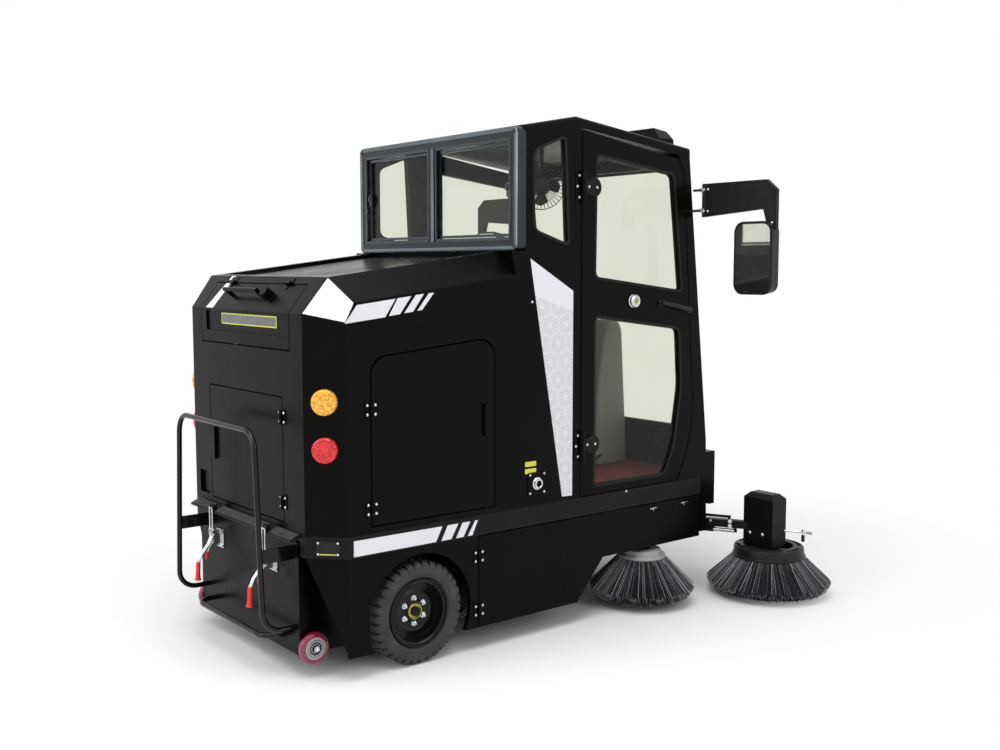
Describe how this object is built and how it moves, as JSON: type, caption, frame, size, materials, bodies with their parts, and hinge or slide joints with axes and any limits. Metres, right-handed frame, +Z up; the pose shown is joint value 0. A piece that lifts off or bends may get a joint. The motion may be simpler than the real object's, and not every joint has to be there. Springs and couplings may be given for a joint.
{
  "type": "ride-on sweeper with cab",
  "caption": "Ride-on floor sweeper with a glazed cab, rear battery housing, roll-out dust bin, side and front disc brushes and opening doors.",
  "frame": {"origin": "on the floor, under the middle of the machine's bounding box", "axes": "+X is forward, +Y is the machine's left, +Z is up"},
  "size_m": [2.842, 2.28, 2.2612],
  "materials": {
    "body_paint": "satin black",
    "frame_paint": "matt black",
    "window_frame": "satin blue-grey",
    "panel_film": "satin pale grey",
    "glass": "clear",
    "indicator_lens": "gloss amber",
    "tail_lens": "gloss red",
    "head_lens": "gloss clear",
    "dark_plastic": "fine grain",
    "floor_mat": "ribbed dark red",
    "seat_cover": "coated cloth",
    "tyre": "rubber",
    "rim_paint": "gloss black",
    "steel": "zinc plated",
    "caster_tread": "gloss crimson",
    "bristle": "dark nylon",
    "mirror_face": "polished",
    "battery_case": "plain"
  },
  "bodies": {
    "chassis": {"chassis_frame": "frame_paint", "side_skirts": "body_paint", "rear_housing": "body_paint", "rear_door": "body_paint", "battery_block": "battery_case", "indicator_lamps": "indicator_lens", "tail_lamps": "tail_lens", "cab_bulkhead": "body_paint", "cab_quarters": "body_paint", "pillar_panels": "panel_film", "roof": "body_paint", "rear_window_frame": "window_frame", "fixed_glass": "glass", "windscreen": "glass", "front_frame": "body_paint", "front_panel": "body_paint", "front_bumper": "dark_plastic", "headlamps": "head_lens", "light_bar": "dark_plastic", "cab_floor": "floor_mat", "seat_base": "frame_paint", "seat_cushion": "seat_cover", "seat_back": "seat_cover", "steering_column": "dark_plastic", "cab_fan": "dark_plastic", "mirrors": "dark_plastic", "mirror_glass": "mirror_face", "brush_motors": "frame_paint"},
    "steering_fork": {"steering_fork": "frame_paint"},
    "front_wheel": {"front_tyre": "tyre", "front_rim": "rim_paint"},
    "handwheel": {"handwheel": "dark_plastic"},
    "top_lid": {"top_lid": "body_paint"},
    "dust_bin": {"dust_bin": "body_paint", "bin_handle": "frame_paint", "bin_latches": "steel"},
    "roller_brush": {"roller_brush": "bristle"},
    "rear_wheel_right": {"rear_tyre_right": "tyre", "rear_rim_right": "rim_paint"},
    "access_door_right": {"access_door_right": "body_paint"},
    "skirt_door_right": {"skirt_door_right": "body_paint"},
    "cab_door_right": {"cab_door_right": "body_paint", "door_glass_right": "glass"},
    "caster_right": {"caster_right": "caster_tread"},
    "side_brush_right": {"side_brush_right": "bristle"},
    "front_arm_right": {"front_arm_right": "frame_paint"},
    "front_brush_right": {"front_brush_right": "bristle"},
    "rear_wheel_left": {"rear_tyre_left": "tyre", "rear_rim_left": "rim_paint"},
    "access_door_left": {"access_door_left": "body_paint"},
    "skirt_door_left": {"skirt_door_left": "body_paint"},
    "cab_door_left": {"cab_door_left": "body_paint", "door_glass_left": "glass"},
    "caster_left": {"caster_left": "caster_tread"},
    "side_brush_left": {"side_brush_left": "bristle"},
    "front_arm_left": {"front_arm_left": "frame_paint"},
    "front_brush_left": {"front_brush_left": "bristle"}
  },
  "joints": [
    {"name": "steer", "type": "hinge", "parent": "chassis", "child": "steering_fork", "pos_m": [0.53, 0, 0.45], "axis": [0, 0, 1], "range_deg": [-60, 60]},
    {"name": "front_wheel_roll", "type": "hinge", "parent": "steering_fork", "child": "front_wheel", "pos_m": [0.53, 0, 0.2], "axis": [0, 1, 0], "continuous": true},
    {"name": "handwheel_turn", "type": "hinge", "parent": "chassis", "child": "handwheel", "pos_m": [0.44, 0, 1.33], "axis": [-0.2619, 0, 0.9651], "range_deg": [-360, 360]},
    {"name": "top_lid_hinge", "type": "hinge", "parent": "chassis", "child": "top_lid", "pos_m": [-1.20051, 0, 1.54147], "axis": [0, 1, 0], "range_deg": [0, 75]},
    {"name": "dust_bin_slide", "type": "slide", "parent": "chassis", "child": "dust_bin", "axis": [-1, 0, 0], "range_m": [0, 0.7]},
    {"name": "roller_spin", "type": "hinge", "parent": "chassis", "child": "roller_brush", "pos_m": [-0.34, 0, 0.165], "axis": [0, 1, 0], "continuous": true},
    {"name": "rear_wheel_right_roll", "type": "hinge", "parent": "chassis", "child": "rear_wheel_right", "pos_m": [-0.82, -0.5475, 0.212], "axis": [0, 1, 0], "continuous": true},
    {"name": "access_door_right_hinge", "type": "hinge", "parent": "chassis", "child": "access_door_right", "pos_m": [-1.04925, -0.623, 0.865], "axis": [0, 0, -1], "range_deg": [0, 100]},
    {"name": "skirt_door_right_hinge", "type": "hinge", "parent": "chassis", "child": "skirt_door_right", "pos_m": [-0.529, -0.623, 0.29], "axis": [0, 0, -1], "range_deg": [0, 100]},
    {"name": "cab_door_right_hinge", "type": "hinge", "parent": "chassis", "child": "cab_door_right", "pos_m": [0.045, -0.627, 1.382], "axis": [0, 0, -1], "range_deg": [0, 95]},
    {"name": "caster_right_roll", "type": "hinge", "parent": "dust_bin", "child": "caster_right", "pos_m": [-1.229, -0.465, 0.12], "axis": [0, 1, 0], "continuous": true},
    {"name": "side_brush_right_spin", "type": "hinge", "parent": "chassis", "child": "side_brush_right", "pos_m": [0.515, -0.548, 0.24], "axis": [0, 0, 1], "continuous": true},
    {"name": "front_arm_right_swing", "type": "hinge", "parent": "chassis", "child": "front_arm_right", "pos_m": [0.935, -0.48, 0.325], "axis": [0, 0, 1], "range_deg": [0, 35], "stiffness_Nm_per_rad": 40},
    {"name": "front_brush_right_spin", "type": "hinge", "parent": "front_arm_right", "child": "front_brush_right", "pos_m": [1.116, -0.835, 0.21], "axis": [0, 0, 1], "continuous": true},
    {"name": "rear_wheel_left_roll", "type": "hinge", "parent": "chassis", "child": "rear_wheel_left", "pos_m": [-0.82, 0.5475, 0.212], "axis": [0, 1, 0], "continuous": true},
    {"name": "access_door_left_hinge", "type": "hinge", "parent": "chassis", "child": "access_door_left", "pos_m": [-1.04925, 0.623, 0.865], "axis": [0, 0, 1], "range_deg": [0, 100]},
    {"name": "skirt_door_left_hinge", "type": "hinge", "parent": "chassis", "child": "skirt_door_left", "pos_m": [-0.529, 0.623, 0.29], "axis": [0, 0, 1], "range_deg": [0, 100]},
    {"name": "cab_door_left_hinge", "type": "hinge", "parent": "chassis", "child": "cab_door_left", "pos_m": [0.045, 0.627, 1.382], "axis": [0, 0, 1], "range_deg": [0, 95]},
    {"name": "caster_left_roll", "type": "hinge", "parent": "dust_bin", "child": "caster_left", "pos_m": [-1.229, 0.465, 0.12], "axis": [0, 1, 0], "continuous": true},
    {"name": "side_brush_left_spin", "type": "hinge", "parent": "chassis", "child": "side_brush_left", "pos_m": [0.515, 0.548, 0.24], "axis": [0, 0, 1], "continuous": true},
    {"name": "front_arm_left_swing", "type": "hinge", "parent": "chassis", "child": "front_arm_left", "pos_m": [0.935, 0.48, 0.325], "axis": [0, 0, -1], "range_deg": [0, 35], "stiffness_Nm_per_rad": 40},
    {"name": "front_brush_left_spin", "type": "hinge", "parent": "front_arm_left", "child": "front_brush_left", "pos_m": [1.116, 0.835, 0.21], "axis": [0, 0, 1], "continuous": true}
  ],
  "couplings": [
    {"joint": "handwheel_turn", "follows": "steer", "ratio": 6}
  ]
}
